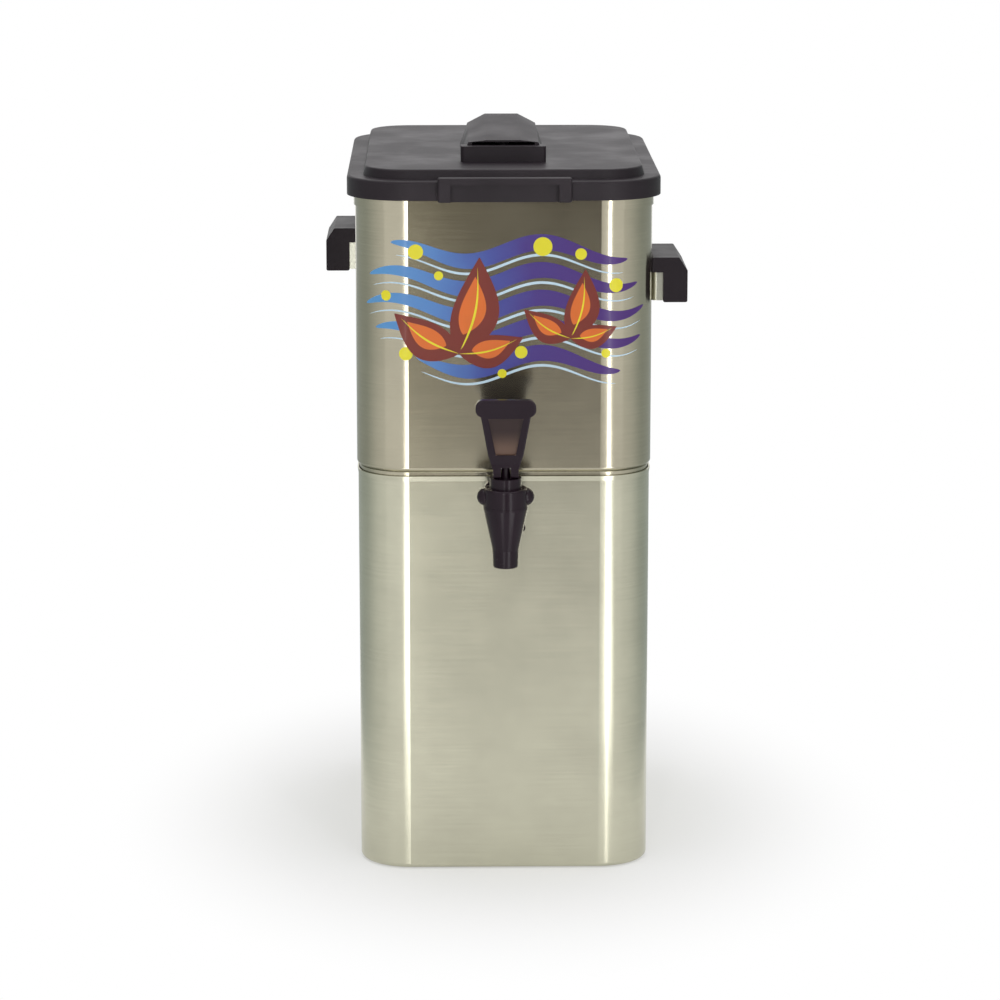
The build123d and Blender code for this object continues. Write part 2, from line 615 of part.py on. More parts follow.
# Bonnet: screws down over the barrel's neck, with two rounded finger lugs
bonnet_base = BARREL_TOP + BONNET_FIT
shoulder = BARREL_TOP + BONNET_HEIGHT
lug_line = bonnet_base + LUG_RADIUS
with BuildPart() as tap_bonnet:
    with BuildSketch(tap_side):
        with BuildLine():
            Polyline((0, BONNET_TOP), (BONNET_NECK, BONNET_TOP), (BONNET_NECK, shoulder),
                     (BARREL_RADIUS, shoulder), (BARREL_RADIUS, bonnet_base), (0, bonnet_base), close=True)
        make_face()
    revolve(axis=tap_axis)
    fillet(tap_bonnet.faces().filter_by(Axis.Z).group_by(Axis.Z)[1].edges().sort_by(SortBy.RADIUS)[-1],
           BONNET_EDGE)
    with BuildSketch(Plane((0, TAP_Y, lug_line), x_dir=(0, 1, 0), z_dir=(1, 0, 0))):
        Circle(LUG_RADIUS)
    extrude(amount=LUG_REACH - LUG_RADIUS, both=True)
    with Locations((LUG_RADIUS - LUG_REACH, TAP_Y, lug_line), (LUG_REACH - LUG_RADIUS, TAP_Y, lug_line)):
        Sphere(LUG_RADIUS)
    with BuildSketch(Plane((0, TAP_Y, bonnet_base))):
        Circle(THREAD_RADIUS + BONNET_FIT)
    extrude(amount=BONNET_ROOF - bonnet_base, mode=Mode.SUBTRACT)
    with BuildSketch(Plane((0, TAP_Y, BONNET_ROOF))):
        Circle(STEM_RADIUS + STEM_FIT)
    extrude(amount=BONNET_TOP - BONNET_ROOF, mode=Mode.SUBTRACT)
tap_bonnet.part.label = "tap_bonnet"
export_step(tap_bonnet.part, "parts/tap_bonnet.step")

# Stem: a rod with a spring collar, and a cross hole for the lever's pin
stem_foot = SEAT_HEIGHT + CUP_GAP + CUP_SKIN
cup_top = SEAT_HEIGHT + CUP_GAP + CUP_HEIGHT
collar_top = cup_top + STEM_COLLAR_THICK
stem_top = PIN_HEIGHT + EYE_RADIUS
with BuildPart() as valve_stem:
    with BuildSketch(tap_side):
        with BuildLine():
            Polyline((0, stem_foot), (STEM_RADIUS, stem_foot), (STEM_RADIUS, cup_top),
                     (STEM_COLLAR, cup_top), (STEM_COLLAR, collar_top), (STEM_RADIUS, collar_top),
                     (STEM_RADIUS, stem_top - STEM_END), (STEM_RADIUS - STEM_END, stem_top), (0, stem_top),
                     close=True)
        make_face()
    revolve(axis=tap_axis)
    with Locations(Plane((STEM_RADIUS, TAP_Y, PIN_HEIGHT), x_dir=(0, 1, 0), z_dir=(1, 0, 0))):
        Hole(PIN_RADIUS + PIN_FIT)
valve_stem.part.label = "valve_stem"
export_step(valve_stem.part, "parts/valve_stem.step")

with BuildPart() as seat_cup:
    with BuildSketch(tap_side):
        with BuildLine():
            Polyline((0, SEAT_HEIGHT + CUP_GAP), (CUP_RADIUS, SEAT_HEIGHT + CUP_GAP),
                     (CUP_RADIUS, SEAT_HEIGHT + CUP_RIM), (CUP_NECK, cup_top), (STEM_RADIUS, cup_top),
                     (STEM_RADIUS, stem_foot), (0, stem_foot), close=True)
        make_face()
    revolve(axis=tap_axis)
seat_cup.part.label = "seat_cup"
export_step(seat_cup.part, "parts/seat_cup.step")

# Spring: one unbroken coil of wire between the collar and the bonnet's roof
coil_start = collar_top + SPRING_WIRE + SPRING_REST
coil_rise = BONNET_ROOF - SPRING_WIRE - SPRING_REST - coil_start
quarters = 4 * SPRING_TURNS


def coil_point(step):
    """A point on the coil, after this many quarter turns."""
    turn = step * pi / 2
    return Vector(SPRING_RADIUS * cos(turn), TAP_Y + SPRING_RADIUS * sin(turn),
                  coil_start + coil_rise * step / quarters)


def coil_heading(step):
    """The coil's direction at that point."""
    turn = step * pi / 2
    climb = coil_rise / quarters / (pi / 2)
    return Vector(-SPRING_RADIUS * sin(turn), SPRING_RADIUS * cos(turn), climb).normalized()


with BuildPart() as stem_spring:
    with BuildLine() as coil:
        for step in range(quarters):
            start, end = coil_point(step), coil_point(step + 1)
            leave, arrive = coil_heading(step), coil_heading(step + 1)
            span = end - start
            bend = 2 * (1 - leave.dot(arrive))
            pull = 2 * span.dot(leave + arrive)
            arm = (-pull + sqrt(pull ** 2 + 4 * bend * span.dot(span))) / (2 * bend)
            first, second = start + leave * arm, end - arrive * arm
            join = (first + second) / 2
            TangentArc(start, join, tangent=leave)
            TangentArc(join, end, tangent=second - first)
    with BuildSketch(Plane(coil_point(0), z_dir=coil_heading(0))):
        Circle(SPRING_WIRE)
    sweep(path=coil.line)
stem_spring.part.label = "stem_spring"
export_step(stem_spring.part, "parts/stem_spring.step")
coil_pitch = coil_rise / SPRING_TURNS
print("spring's least gap between turns", round(coil_pitch - 2 * SPRING_WIRE, 2))

with BuildPart() as lever_pin:
    with BuildSketch(Plane((-PIN_LENGTH / 2, TAP_Y, PIN_HEIGHT), x_dir=(0, 1, 0), z_dir=(1, 0, 0))):
        Circle(PIN_RADIUS)
    extrude(amount=PIN_LENGTH)
lever_pin.part.label = "lever_pin"
export_step(lever_pin.part, "parts/lever_pin.step")

# Lever: its front outline crossed with its side outline, then rounded, given its panel, forked and
# bored
head_base = LEVER_HEIGHT - HEAD_HEIGHT
head_middle = LEVER_HEIGHT - HEAD_HEIGHT / 2
fork_half = STEM_RADIUS + FORK_FIT
lever_front = Plane((0, TAP_Y, LEVER_BASE), x_dir=(1, 0, 0), z_dir=(0, -1, 0))
half_thick = LEVER_THICK / 2
face_rise = LEVER_HEIGHT - STALK_RISE
panel_base = SHOULDER_HEIGHT - STALK_RISE
panel_top = head_base - STALK_RISE - PANEL_GAP
panel_plane = Plane((0, TAP_Y - half_thick, LEVER_BASE + STALK_RISE), x_dir=(1, 0, 0),
                    z_dir=(0, -face_rise, -HEAD_LEAN))
with BuildPart() as tap_lever:
    with BuildSketch(lever_front):
        with BuildLine():
            Polyline((0, 0), (WAIST_HALF, 0), (WAIST_HALF, WAIST_HEIGHT), (SHOULDER_HALF, SHOULDER_HEIGHT),
                     (NECK_HALF, head_base), (NECK_HALF, head_middle), (0, head_middle))
            mirror(about=Plane.YZ)
        make_face()
        with Locations((0, head_middle)):
            RectangleRounded(2 * HEAD_HALF, HEAD_HEIGHT, HEAD_ROUND)
    extrude(amount=2 * (HEAD_LEAN + LEVER_THICK), both=True)
    with BuildSketch(Plane((0, TAP_Y, LEVER_BASE), x_dir=(0, 1, 0), z_dir=(1, 0, 0))):
        with BuildLine():
            Polyline((-HEEL_REACH, 0), (HEEL_REACH, 0), (HEEL_REACH, HEEL_RISE), (half_thick, STALK_RISE),
                     (HEAD_THICK - half_thick - HEAD_LEAN, LEVER_HEIGHT),
                     (-half_thick - HEAD_LEAN, LEVER_HEIGHT), (-half_thick, STALK_RISE),
                     (-HEEL_REACH, HEEL_RISE), close=True)
        make_face()
        fillet(vertices().group_by(Axis.Y)[0], HEEL_ROUND)
    extrude(amount=2 * HEAD_HALF, both=True, mode=Mode.INTERSECT)
    front_and_back = tap_lever.faces().sort_by(SortBy.AREA)[-2:]
    stalk_rim = front_and_back.edges().filter_by(lambda edge: (edge @ 0.5).Z > LEVER_BASE + FORK_RISE)
    fillet(stalk_rim, LEVER_EDGE)
    with BuildSketch(panel_plane):
        with BuildLine():
            Polyline((-PANEL_BASE_HALF, panel_base), (PANEL_BASE_HALF, panel_base),
                     (PANEL_TOP_HALF, panel_top), (-PANEL_TOP_HALF, panel_top), close=True)
        make_face()
        fillet(vertices(), PANEL_CORNER)
    extrude(amount=-PANEL_SINK, mode=Mode.SUBTRACT)
    with BuildSketch(lever_front):
        with Locations((0, FORK_MOUTH / 2)):
            Rectangle(2 * fork_half, FORK_MOUTH)
    extrude(amount=2 * HEEL_REACH, both=True, mode=Mode.SUBTRACT)
    with BuildSketch(lever_front.offset(fork_half)):
        with Locations((0, FORK_RISE / 2)):
            Rectangle(2 * fork_half, FORK_RISE)
    extrude(amount=-fork_half - 2 * HEEL_REACH, mode=Mode.SUBTRACT)
    with BuildSketch(Plane((0, TAP_Y, PIN_HEIGHT), x_dir=(0, 1, 0), z_dir=(1, 0, 0))):
        Circle(PIN_RADIUS + PIN_FIT)
    extrude(amount=HEAD_HALF, both=True, mode=Mode.SUBTRACT)
tap_lever.part.label = "tap_lever"
export_step(tap_lever.part, "parts/tap_lever.step")
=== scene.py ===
# %% [markdown]
# # An iced tea dispenser, finished in Blender
# The dispenser comes in as an engineering model: a stainless vessel on a hollow stand, a black
# lid, two carrying grips and a pull tap. Every piece already has its real size and place, in
# metres, so the work left here is what an eye sees: brushed steel, moulded plastic, a printed
# vinyl design on the front, and the light and camera of a small photo studio.

# %% Load the model
import json
from math import cos, pi, radians, sin

import bpy
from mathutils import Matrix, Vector


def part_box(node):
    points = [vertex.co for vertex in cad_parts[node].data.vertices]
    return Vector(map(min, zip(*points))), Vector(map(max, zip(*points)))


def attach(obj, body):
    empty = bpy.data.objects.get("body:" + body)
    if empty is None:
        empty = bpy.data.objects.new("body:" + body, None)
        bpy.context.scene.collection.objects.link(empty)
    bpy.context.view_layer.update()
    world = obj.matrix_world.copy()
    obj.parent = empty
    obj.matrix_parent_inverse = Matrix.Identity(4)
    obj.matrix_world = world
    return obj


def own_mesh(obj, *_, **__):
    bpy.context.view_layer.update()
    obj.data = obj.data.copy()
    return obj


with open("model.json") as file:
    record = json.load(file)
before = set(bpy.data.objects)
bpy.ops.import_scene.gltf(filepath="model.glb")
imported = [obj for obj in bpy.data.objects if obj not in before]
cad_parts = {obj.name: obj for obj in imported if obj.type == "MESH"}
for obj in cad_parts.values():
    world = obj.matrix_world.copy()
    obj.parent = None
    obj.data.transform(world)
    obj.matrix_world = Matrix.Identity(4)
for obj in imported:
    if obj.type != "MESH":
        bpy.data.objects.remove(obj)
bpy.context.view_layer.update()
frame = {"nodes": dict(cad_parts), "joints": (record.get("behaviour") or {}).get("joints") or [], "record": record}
nodes = frame["nodes"]

# %% [markdown]
# ## Writing shader maths as sums
# A finish is built from small nodes, and joining them by hand hides the idea behind the wires.
# So a socket is wrapped in a small class: adding, multiplying or comparing two of them adds the
# Math node that does it. Any other node comes from one method of the finish, which takes the
# node's type, its settings and what goes into its sockets.

# %% A wrapped socket


class Signal:
    """One number that varies over a surface, on which sums can be written."""

    def __init__(self, finish, socket):
        self.finish = finish
        self.socket = socket

    def sum(self, operation, *values):
        return self.finish.node("ShaderNodeMath", {"operation": operation},
                                {i: v for i, v in enumerate(values)})

    def __add__(self, other):
        return self.sum("ADD", self, other)

    __radd__ = __add__

    def __mul__(self, other):
        return self.sum("MULTIPLY", self, other)

    __rmul__ = __mul__

    def __sub__(self, other):
        return self.sum("SUBTRACT", self, other)

    def __rsub__(self, other):
        return self.sum("SUBTRACT", other, self)

    def __truediv__(self, other):
        return self.sum("DIVIDE", self, other)

    def __pow__(self, other):
        return self.sum("POWER", self, other)

    def __abs__(self):
        return self.sum("ABSOLUTE", self)

    def above(self, level):
        return self.sum("GREATER_THAN", self, level)

    def between(self, low, high):
        """0 below low, 1 above high and a soft step from one to the other."""
        return self.finish.node("ShaderNodeMapRange", {"interpolation_type": "SMOOTHSTEP"},
                                {"Value": self, "From Min": low, "From Max": high})


# %% A finish: one material and its nodes


class Finish:
    """A Principled material whose nodes are added one call at a time."""

    def __init__(self, name, **constants):
        self.material = bpy.data.materials.new(name)
        self.material.use_nodes = True
        self.tree = self.material.node_tree
        self.shader = self.tree.nodes["Principled BSDF"]
        for socket, value in constants.items():
            self.shader.inputs[socket.replace("_", " ")].default_value = value
        self.place = self.node("ShaderNodeTexCoord", {}, {}, out="Object")

    def node(self, kind, settings, sockets, out=0):
        made = self.tree.nodes.new(kind)
        for name, value in settings.items():
            setattr(made, name, value)
        for name, value in sockets.items():
            self.feed(made.inputs[name], value)
        return Signal(self, made.outputs[out])

    def feed(self, socket, value):
        if isinstance(value, Signal):
            self.tree.links.new(value.socket, socket)
        else:
            socket.default_value = value

    def give(self, name, value):
        self.feed(self.shader.inputs[name], value)

    def axis(self, letter):
        return self.node("ShaderNodeSeparateXYZ", {}, {0: self.place}, out=letter)

    def stretched(self, scale):
        """The surface's place, stretched, so that a pattern runs long in one direction."""
        return self.node("ShaderNodeMapping", {}, {"Vector": self.place, "Scale": scale})

    def noise(self, scale, detail=2.0, roughness=0.5, place=None):
        return self.node("ShaderNodeTexNoise", {}, {"Vector": place or self.place, "Scale": scale,
                                                    "Detail": detail, "Roughness": roughness})

    def ramp(self, value, stops):
        made = self.tree.nodes.new("ShaderNodeValToRGB")
        while len(made.color_ramp.elements) < len(stops):
            made.color_ramp.elements.new(0.5)
        for element, (at, colour) in zip(made.color_ramp.elements, stops):
            element.position = at
            element.color = (*colour, 1.0)
        self.feed(made.inputs[0], value)
        return Signal(self, made.outputs[0])

    def blend(self, share, first, second):
        """One colour, or this share of the way to another."""
        made = self.tree.nodes.new("ShaderNodeMix")
        made.data_type = "RGBA"
        self.feed(made.inputs[0], share)
        for socket, value in ((made.inputs[6], first), (made.inputs[7], second)):
            self.feed(socket, value if isinstance(value, Signal) else (*value, 1.0))
        return Signal(self, made.outputs[2])

    def bump(self, height, strength=1.0):
        """A fine unevenness that only the light sees; its height is in metres."""
        return self.node("ShaderNodeBump", {}, {"Height": height, "Strength": strength, "Distance": 1.0})

    def ray(self, kind):
        return self.node("ShaderNodeLightPath", {}, {}, out=kind)

    def shine_through(self, share, colour):
        """Show this much of a plain glowing colour in place of the lit surface."""
        glow = self.node("ShaderNodeEmission", {}, {"Color": (*colour, 1.0), "Strength": 1.0})
        lit = Signal(self, self.shader.outputs[0])
        both = self.node("ShaderNodeMixShader", {}, {0: share, 1: lit, 2: glow})
        self.tree.links.new(both.socket, self.tree.nodes["Material Output"].inputs["Surface"])


# %% [markdown]
# ## Brushed stainless steel
# The sheet was ground with a belt before it was bent, so fine scratches run round the vessel.
# Light spreads across the scratches, up and down, and stays narrow along them: that is why each
# corner shows one sharp bright line from top to bottom. An anisotropic metal does this, and a
# noise that is stretched along the scratches breaks the gloss up as the real grain does.

# %% Steel for the wraps
GRAIN_STRETCH = (12, 12, 1500)
SMUDGE_SCALE = 14.0
SHEET_SCALE = 2.2
GRAIN_TONE, SMUDGE_TONE, PLAIN_TONE = 0.16, 0.20, 0.82
DARKEST, LIGHTEST = 0.80, 1.02
GRAIN_ROUGH, SMUDGE_ROUGH = 0.06, 0.05
SCRATCH_DEPTH = 0.000020
SHEET_WAVE = 0.0006


def brushed_steel(name, colour, rough):
    """Bare steel: scratches round the vessel, smudges, and a faint wave in the sheet itself."""
    steel = Finish(name, Metallic=1.0, Anisotropic=0.93, Anisotropic_Rotation=0.25)
    grain = steel.noise(1.0, detail=4.0, roughness=0.7, place=steel.stretched(GRAIN_STRETCH))
    smudge = steel.noise(SMUDGE_SCALE, detail=4.0, roughness=0.6)
    sheet = steel.noise(SHEET_SCALE, detail=1.0)
    tone = grain * GRAIN_TONE + smudge * SMUDGE_TONE + PLAIN_TONE
    light = tuple(c * LIGHTEST for c in colour)
    dark = tuple(c * DARKEST for c in colour)
    steel.give("Base Color", steel.blend(tone.between(0.9, 1.1), dark, light))
    middle = (GRAIN_ROUGH + SMUDGE_ROUGH) / 2
    steel.give("Roughness", grain * GRAIN_ROUGH + smudge * SMUDGE_ROUGH + (rough - middle))
    steel.give("Normal", steel.bump(grain * SCRATCH_DEPTH + sheet * SHEET_WAVE, strength=0.35))
    return steel


wrap_steel = brushed_steel("brushed_stand", (0.62, 0.605, 0.475), 0.24)
# The upper wall's darker colour is painted shade, standing in for the upper front's darker reflections.
shaded_wall_steel = brushed_steel("brushed_wall_shaded", (0.50, 0.465, 0.355), 0.19)
inner_steel = brushed_steel("brushed_inside", (0.53, 0.52, 0.45), 0.33)
strap_steel = brushed_steel("brushed_strap", (0.44, 0.44, 0.37), 0.32)
print("steels made")

# %% [markdown]
# ## Moulded plastic and silicone
# The lid and grips are moulded in black with a fine sparked grain, and handling has worn it a
# little smoother in places. The tap is polished black. Both are nearly black underneath: what
# the eye sees is mostly the light on their surface.

# %% Black plastics and the seals
SPARKED = {"grain_size": 1500.0, "grain_depth": 0.00004}
POLISHED = {"grain_size": 400.0, "grain_depth": 0.000006}
RUBBERY = {"grain_size": 600.0, "grain_depth": 0.00002}
CLOUD_SCALE = 18.0
GRAIN_MATT = 0.12
WORN_POLISH = 0.10
MATT_TRIM = 0.02


def moulded(name, colour, rough, grain_size, grain_depth, wear, gloss):
    """A moulding: fine grain all over, paler and a little smoother where hands have worn it."""
    plastic = Finish(name, Specular_IOR_Level=gloss)
    grain = plastic.noise(grain_size, detail=3.0, roughness=0.6)
    cloud = plastic.noise(CLOUD_SCALE, detail=3.0, roughness=0.6)
    worn = cloud.between(0.35, 0.75)
    paler = tuple(c * 1.9 + 0.003 for c in colour)
    plastic.give("Base Color", plastic.blend(worn * wear, colour, paler))
    plastic.give("Roughness", worn * -WORN_POLISH + (grain * GRAIN_MATT + (rough - MATT_TRIM)))
    plastic.give("Normal", plastic.bump(grain * grain_depth))
    return plastic


lid_black = moulded("lid_moulding", (0.015, 0.0105, 0.014), 0.44, wear=0.5, gloss=0.20, **SPARKED)
grip_black = moulded("grip_moulding", (0.010, 0.006, 0.009), 0.42, wear=0.3, gloss=0.14, **SPARKED)
tap_black = moulded("tap_gloss", (0.013, 0.006, 0.011), 0.22, wear=0.3, gloss=0.19, **POLISHED)
seal = moulded("seal_silicone", (0.50, 0.50, 0.48), 0.5, wear=0.3, gloss=0.5, **RUBBERY)
screw_steel = brushed_steel("bright_steel", (0.60, 0.60, 0.57), 0.25)
print("plastics and seals made")

# %% [markdown]
# ## The lever's sunk panel and its painted reflection
# The panel in the lever's face is painted browner than the moulding round it: a painted reflection
# of what its glossy recess shows, which darkens upwards as painted shade. The lever is one CAD piece
# with one material slot, so its finish finds the panel by place: a point is on the panel when it
# lies between the panel's two slanting sides and in front of a plane inside the lever, which keeps
# the lever's back black. Sums on the surface's place give that mask.

# %% The lever, with a painted reflection in its panel
lever_low, lever_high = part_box("tap_lever")
lever_height = lever_high[2] - lever_low[2]
PANEL_BASE_SHARE = 0.294
PANEL_TOP_SHARE = 0.765
PANEL_BASE_HALF = 0.0078
PANEL_TOP_HALF = 0.0138
PANEL_BACK = -0.2140
PANEL_LEAN = 0.0045
PANEL_SHADE_FROM = 0.7
# The panel's two tones are a painted reflection, brown at the foot and darker upwards as painted shade.
PANEL_LOW_REFLECTION, PANEL_HIGH_SHADE = (0.160, 0.100, 0.074), (0.042, 0.026, 0.025)
LEVER_TONE = (0.015, 0.007, 0.013)

lever_black = moulded("lever_gloss", LEVER_TONE, 0.22, wear=0.3, gloss=0.19, **POLISHED)
up_share = (lever_black.axis("Z") - lever_low[2]) / lever_height
climb = (up_share - PANEL_BASE_SHARE) / (PANEL_TOP_SHARE - PANEL_BASE_SHARE)
half = climb * (PANEL_TOP_HALF - PANEL_BASE_HALF) + PANEL_BASE_HALF
across = abs(lever_black.axis("X"))
inside = (half - across).above(0.0) * climb.above(0.0) * (1.0 - climb.above(1.0))
front_side = 1.0 - (lever_black.axis("Y") + climb * PANEL_LEAN - PANEL_BACK).above(0.0)
# Painted reflection in the panel, darkening upwards as painted shade.
painted_panel_reflection = lever_black.blend(climb.between(0.0, PANEL_SHADE_FROM), PANEL_LOW_REFLECTION, PANEL_HIGH_SHADE)
lever_black.give("Base Color", lever_black.blend(inside * front_side, LEVER_TONE, painted_panel_reflection))
print("lever", round(lever_height, 4), "m tall")

# %% [markdown]
# ## Giving out the finishes
# The record names a material slot for every CAD node, so a table from slot to finish dresses them
# all in one loop. The upper wall shares its slot with the stand, but it is smoother and gets a steel
# of its own, whose darker colour is painted shade: it stands in for the darker reflections that the
# upper front shows.

# %% Give every node its finish
finish_of = {
    "stainless_wrap": wrap_steel, "stainless_inner": inner_steel, "stainless_strap": strap_steel,
    "screw_steel": screw_steel, "black_lid": lid_black, "black_grip": grip_black,
    "black_tap": tap_black, "black_lever": lever_black, "silicone": seal,
}
for entry in frame["record"]["subparts"]:
    finish = shaded_wall_steel if entry["node"] == "tank_shell" else finish_of[entry["material_slot"]]
    for slot in nodes[entry["node"]].material_slots:
        slot.material = finish.material

# %% [markdown]
# ## The valve's spring
# Pulling the lever lifts the stem, and the coil round it closes up between the stem's collar and
# the bonnet's roof. The roof stays still, so the coil flattens towards its top end, by exactly the
# stem's travel. Here the spring only gets a mesh of its own, and its length and the stem's travel
# are printed.

# %% The spring gets a mesh of its own
spring_low, spring_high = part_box("stem_spring")
travel = next(joint for joint in frame["joints"] if joint["name"] == "stem_lift")["range_m"][1]
spring_length = spring_high.z - spring_low.z
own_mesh(nodes["stem_spring"], "stem_lift", axis=(0, 0, 1), anchor=(0, 0, spring_high.z),
          keep=1 - travel / spring_length)
print("spring", round(spring_length * 1000, 2), "mm long, shortens by", round(travel * 1000, 2))

# %% [markdown]
# ## The printed vinyl on the front
# A thin vinyl print covers the upper front and bends round both corners. A flat picture would need
# an image; here the print is cut vinyl instead, shapes laid over each other as a sign maker does.
# Each shape starts as a flat grid. One rule sends a point of the grid along a curved spine, and a
# second lays it on the wall, straight over the flat front and round the corner beyond it.

# %% Laying a flat point on the wall
shell_low, shell_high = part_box("tank_shell")
SAFE_EDGE_PROUD = 0.0012
CORNER_RADIUS = 0.042
wall_front = shell_low[1] + SAFE_EDGE_PROUD
flat_half = shell_high[0] - SAFE_EDGE_PROUD - CORNER_RADIUS
FILM = 0.00004
FILM_SHARE = 0.6
LOWEST_FILM = 0.00003


def on_wall(across, up, layer):
    """A place on the front wall, measured along it; each layer lies a film further out."""
    proud = LOWEST_FILM + layer * FILM
    past = max(0.0, abs(across) - flat_half)
    angle = past / CORNER_RADIUS
    reach = CORNER_RADIUS + proud
    side = 1.0 if across > 0 else -1.0
    x = side * (min(abs(across), flat_half) + sin(angle) * reach)
    return Vector((x, wall_front + CORNER_RADIUS - cos(angle) * reach, up))


print("wall's front at", round(wall_front, 4), "flat to", round(flat_half, 4))

# %% Cutting one shape of vinyl
SEAM = 0.000004
SMOOTH_UNDER = radians(40)


def vinyl(name, steps, place, layer, finish, wide=4):
    """A grid whose two shares, along and across, are sent to the wall; then it gets its thickness.

    Where a shape runs to a point, its grid's points fall together there. They are merged and the
    normals set before the film gets its thickness, so that it comes out closed.
    """
    bpy.ops.object.select_all(action="DESELECT")
    bpy.ops.mesh.primitive_grid_add(x_subdivisions=steps, y_subdivisions=wide, size=2.0)
    film = bpy.context.object
    film.name = name
    for vertex in film.data.vertices:
        along, across = (vertex.co.x + 1) / 2, vertex.co.y
        vertex.co = on_wall(*place(along, across), layer)
    film.data.update()
    bpy.ops.object.mode_set(mode="EDIT")
    bpy.ops.mesh.select_all(action="SELECT")
    bpy.ops.mesh.remove_doubles(threshold=SEAM)
    bpy.ops.mesh.normals_make_consistent(inside=False)
    bpy.ops.object.mode_set(mode="OBJECT")
    thick = film.modifiers.new("thickness", "SOLIDIFY")
    thick.thickness = FILM * FILM_SHARE
    thick.offset = 1.0
    bpy.ops.object.modifier_apply(modifier=thick.name)
    bpy.ops.object.shade_smooth_by_angle(angle=SMOOTH_UNDER)
    film.data.materials.append(finish.material)
    return film


def joined(name, films):
    """Several films of one colour as one piece, riding on the vessel."""
    bpy.ops.object.select_all(action="DESELECT")
    for film in films:
        film.select_set(True)
    bpy.context.view_layer.objects.active = films[0]
    bpy.ops.object.join()
    films[0].name = name
    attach(films[0], "vessel")
    print(name, len(films[0].data.vertices), "points")


# %% [markdown]
# ### Inks
# Printed vinyl is glossy over an even ink. The ribbons change from sky blue through blue to
# violet along their length, so their ink follows the place across the front, with the faint
# mottling that a worn print shows.

# %% The inks
MOTTLE_SCALE = 60.0
MOTTLE_SHARE = 0.25
MOTTLE_TONE = 0.75
INK_HALF = 0.105
DRIFT_SCALE = 30.0
INK_DRIFT = 0.03


def glossy_film(name):
    return Finish(name, Roughness=0.32, Specular_IOR_Level=0.4, Coat_Weight=0.2)


def ink(name, colour):
    """One even colour of vinyl, a little mottled."""
    film = glossy_film(name)
    mottle = film.noise(MOTTLE_SCALE, detail=3.0).between(0.3, 0.8) * MOTTLE_SHARE
    film.give("Base Color", film.blend(mottle, colour, tuple(c * MOTTLE_TONE for c in colour)))
    return film


SKY, AZURE, BLUE = (0.102, 0.352, 0.679), (0.085, 0.230, 0.560), (0.050, 0.075, 0.350)
INDIGO, VIOLET = (0.055, 0.024, 0.220), (0.061, 0.0105, 0.171)
ribbon_ink = glossy_film("ink_ribbons")
drift = ribbon_ink.noise(DRIFT_SCALE, detail=4.0) * INK_DRIFT
shade = (ribbon_ink.axis("X") + drift + INK_HALF) / (2 * INK_HALF)
shades = [(0.0, SKY), (0.30, AZURE), (0.50, BLUE), (0.68, INDIGO), (1.0, VIOLET)]
ribbon_ink.give("Base Color", ribbon_ink.ramp(shade, shades))
pale_ink = ink("ink_pale", (0.578, 0.753, 0.871))
yellow_ink = ink("ink_yellow", (0.831, 0.752, 0.013))
orange_ink = ink("ink_orange", (0.753, 0.156, 0.013))
russet_ink = ink("ink_russet", (0.188, 0.017, 0.007))
print("inks mixed")

# %% [markdown]
# ### Ribbons
# Five ribbons swing across the front in step, with bare steel between them, and taper to a point
# at both ends. Each has a thin pale line below it that follows the same swing.

# %% The ribbons and their pale lines
SWING = 0.0075
BEAT = 0.118
RIBBON_HALF = 0.0066
RIBBON_STEPS = 96
LINE_HALF = 0.0011
LINE_DROP = 0.0100
LINE_INSET = 0.004


def ribbon(left, right, level, half):
    """A band that swings as it crosses the front: the rule that places its grid."""
    def place(along, across):
        x = left + (right - left) * along
        middle = level + SWING * sin(2 * pi * x / BEAT)
        return x, middle + across * half * sin(pi * along) ** 0.5
    return place


# Each ribbon's left and right ends, and its height on the wall
ribbons = [(-0.090, 0.098, 0.5050), (-0.110, 0.108, 0.4830), (-0.114, 0.116, 0.4610),
           (-0.104, 0.112, 0.4390), (-0.070, 0.092, 0.4170)]
ribbon_films = []
line_films = []
for left, right, level in ribbons:
    band = ribbon(left, right, level, RIBBON_HALF)
    under = ribbon(left + LINE_INSET, right - LINE_INSET, level - LINE_DROP, LINE_HALF)
    ribbon_films.append(vinyl("ribbon", RIBBON_STEPS, band, 1, ribbon_ink))
    line_films.append(vinyl("line", RIBBON_STEPS, under, 0, pale_ink, wide=2))
joined("print_ribbons", ribbon_films)
joined("print_lines", line_films)

# %% [markdown]
# ### Leaves and dots
# Two sprigs of three tea leaves lie over the ribbons, a large one and a small one. A leaf is a band
# that is widest a little before its middle, with a smaller glowing band and a thin vein laid on it.
# Each leaf of a sprig has layers of its own, so that where two cross, one lies cleanly over the
# other. Yellow dots drift round them; a dot is a grid whose two shares are an angle and a radius.

# %% The leaves
BELLY = 0.8
BLUNT = 0.02
BOW = 0.08
GLOW_START, GLOW_LENGTH, GLOW_WIDTH = 0.20, 0.60, 0.55
VEIN_LENGTH, VEIN_WIDTH = 0.90, 0.05
FIRST_LEAF_LAYER = 3


def leaf(x, z, heading, length, half):
    """A leaf from its stalk's end, pointing along a heading in degrees from straight up."""
    turn = radians(heading)

    def place(along, across):
        out = length * along
        side = across * half * (sin(pi * along ** BELLY) + BLUNT)
        bow = BOW * length * sin(pi * along) * (1 if heading > 0 else -1)
        return (x + sin(turn) * out + cos(turn) * (side + bow),
                z + cos(turn) * out - sin(turn) * (side + bow))
    return place


